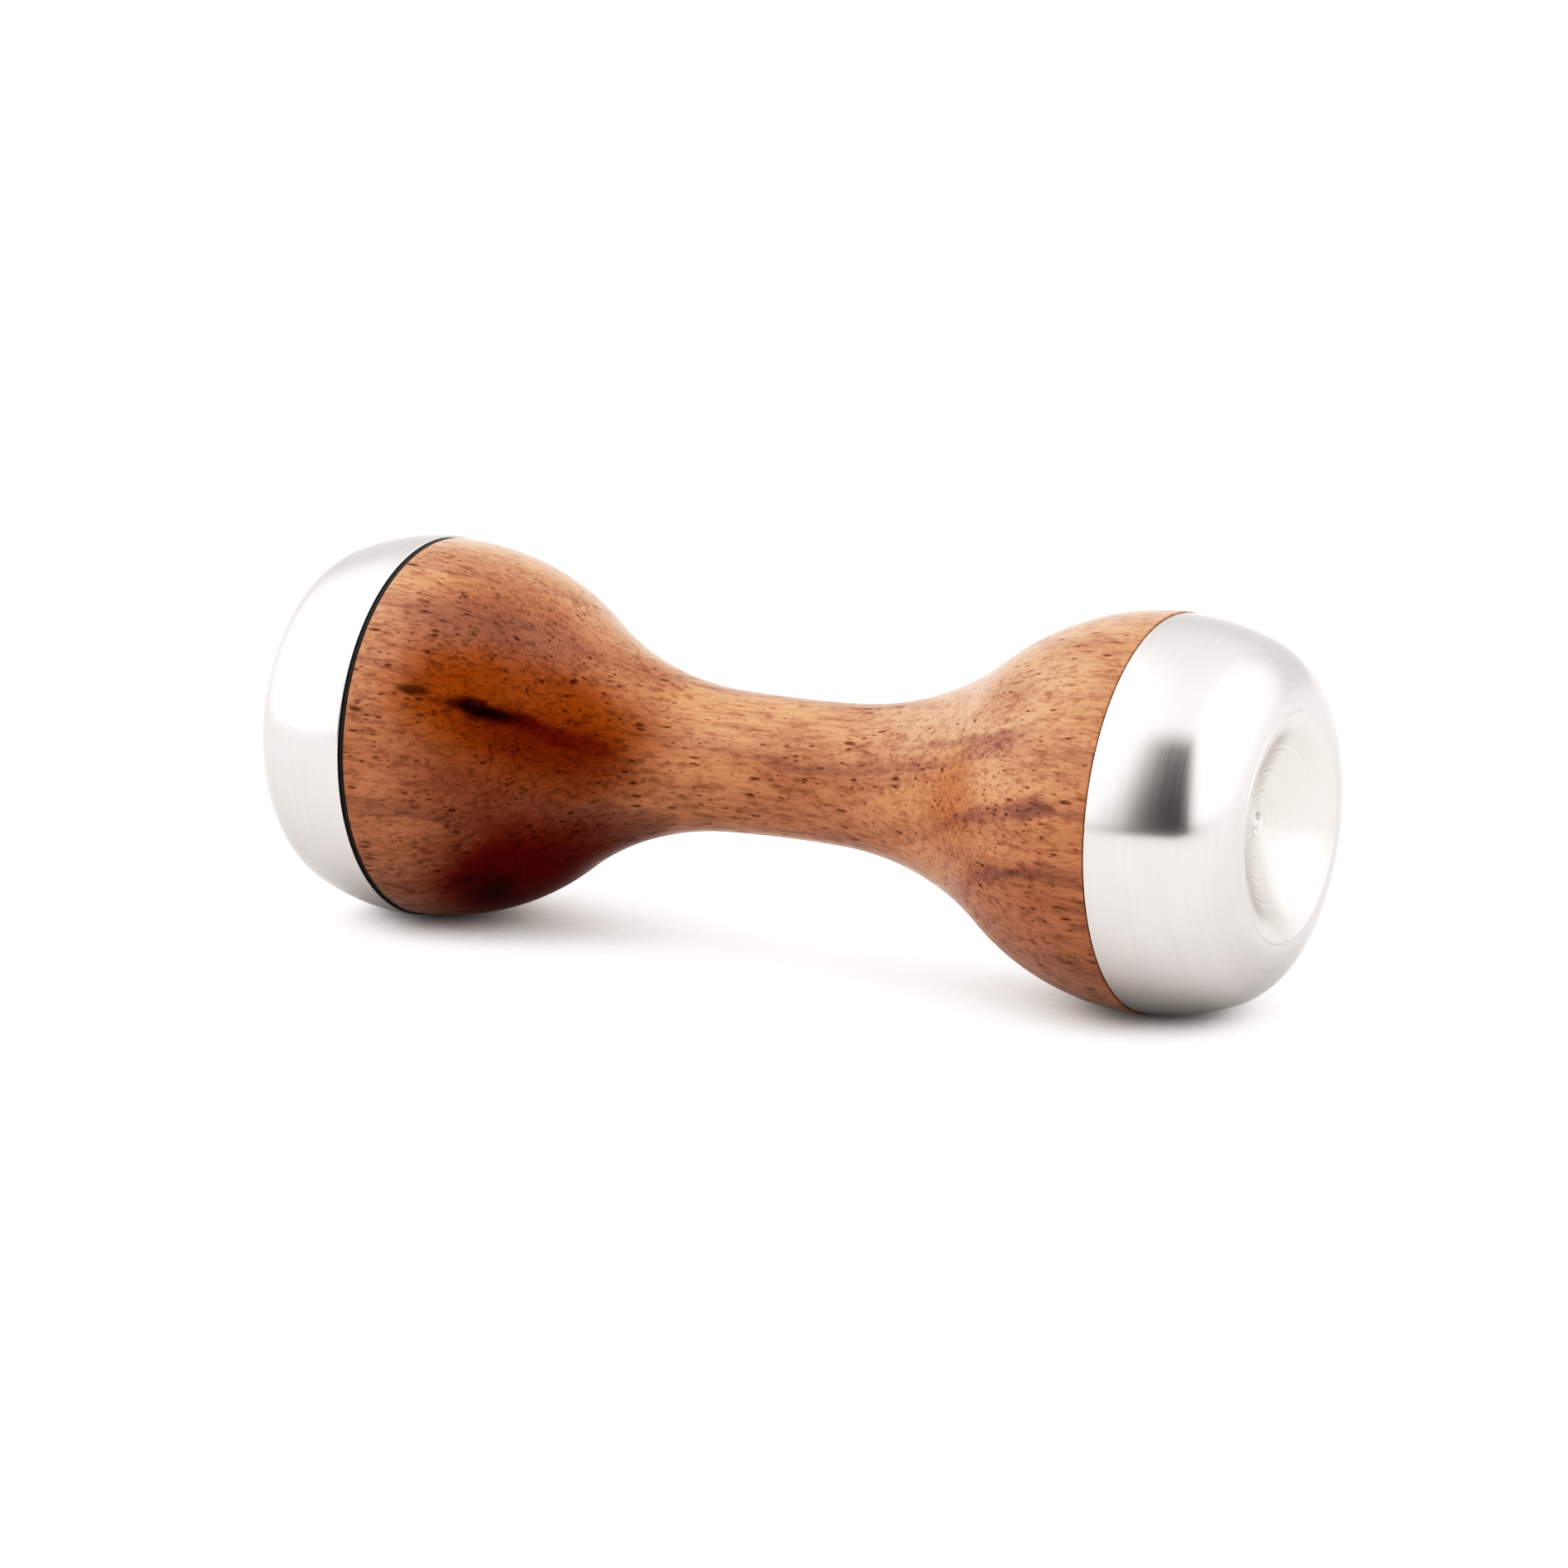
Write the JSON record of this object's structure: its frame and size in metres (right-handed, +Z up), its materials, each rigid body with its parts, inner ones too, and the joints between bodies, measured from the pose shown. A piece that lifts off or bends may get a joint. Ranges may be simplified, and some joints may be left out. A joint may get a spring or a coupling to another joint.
{
  "type": "espresso tamper",
  "caption": "Dumbbell-shaped hand tamper: turned wooden handle between two rounded steel caps, one a screw-off tamping base, the other dished for the thumb.",
  "frame": {"origin": "on the axis of the tamper, midway between its two metal end faces", "axes": "+X runs along the axis from the tamping base to the thumb cap and +Z is up, with the tamper lying on its side; it rests on the plane z = -0.020"},
  "size_m": [0.11, 0.04, 0.04],
  "materials": {
    "walnut": "oiled, satin",
    "stainless": "fine satin, turned",
    "gasket_black": "matt black",
    "brass": "machined",
    "stud_steel": "machined"
  },
  "bodies": {
    "handle": {"wood_handle": "walnut", "thumb_cap": "stainless", "cap_insert": "brass", "cap_stud": "stud_steel", "base_insert": "brass"},
    "gasket": {"base_gasket": "gasket_black"},
    "base": {"tamping_base": "stainless", "base_stud": "stud_steel"}
  },
  "joints": [
    {"name": "base_slide", "type": "slide", "parent": "handle", "child": "gasket", "axis": [-1, 0, 0], "range_m": [0, 0.01312]},
    {"name": "base_turn", "type": "hinge", "parent": "gasket", "child": "base", "pos_m": [-0.042, 0, 0], "axis": [-1, 0, 0], "range_deg": [0, 3780]}
  ],
  "couplings": [
    {"joint": "base_slide", "follows": "base_turn", "m_per_rad": 0.00019894}
  ]
}
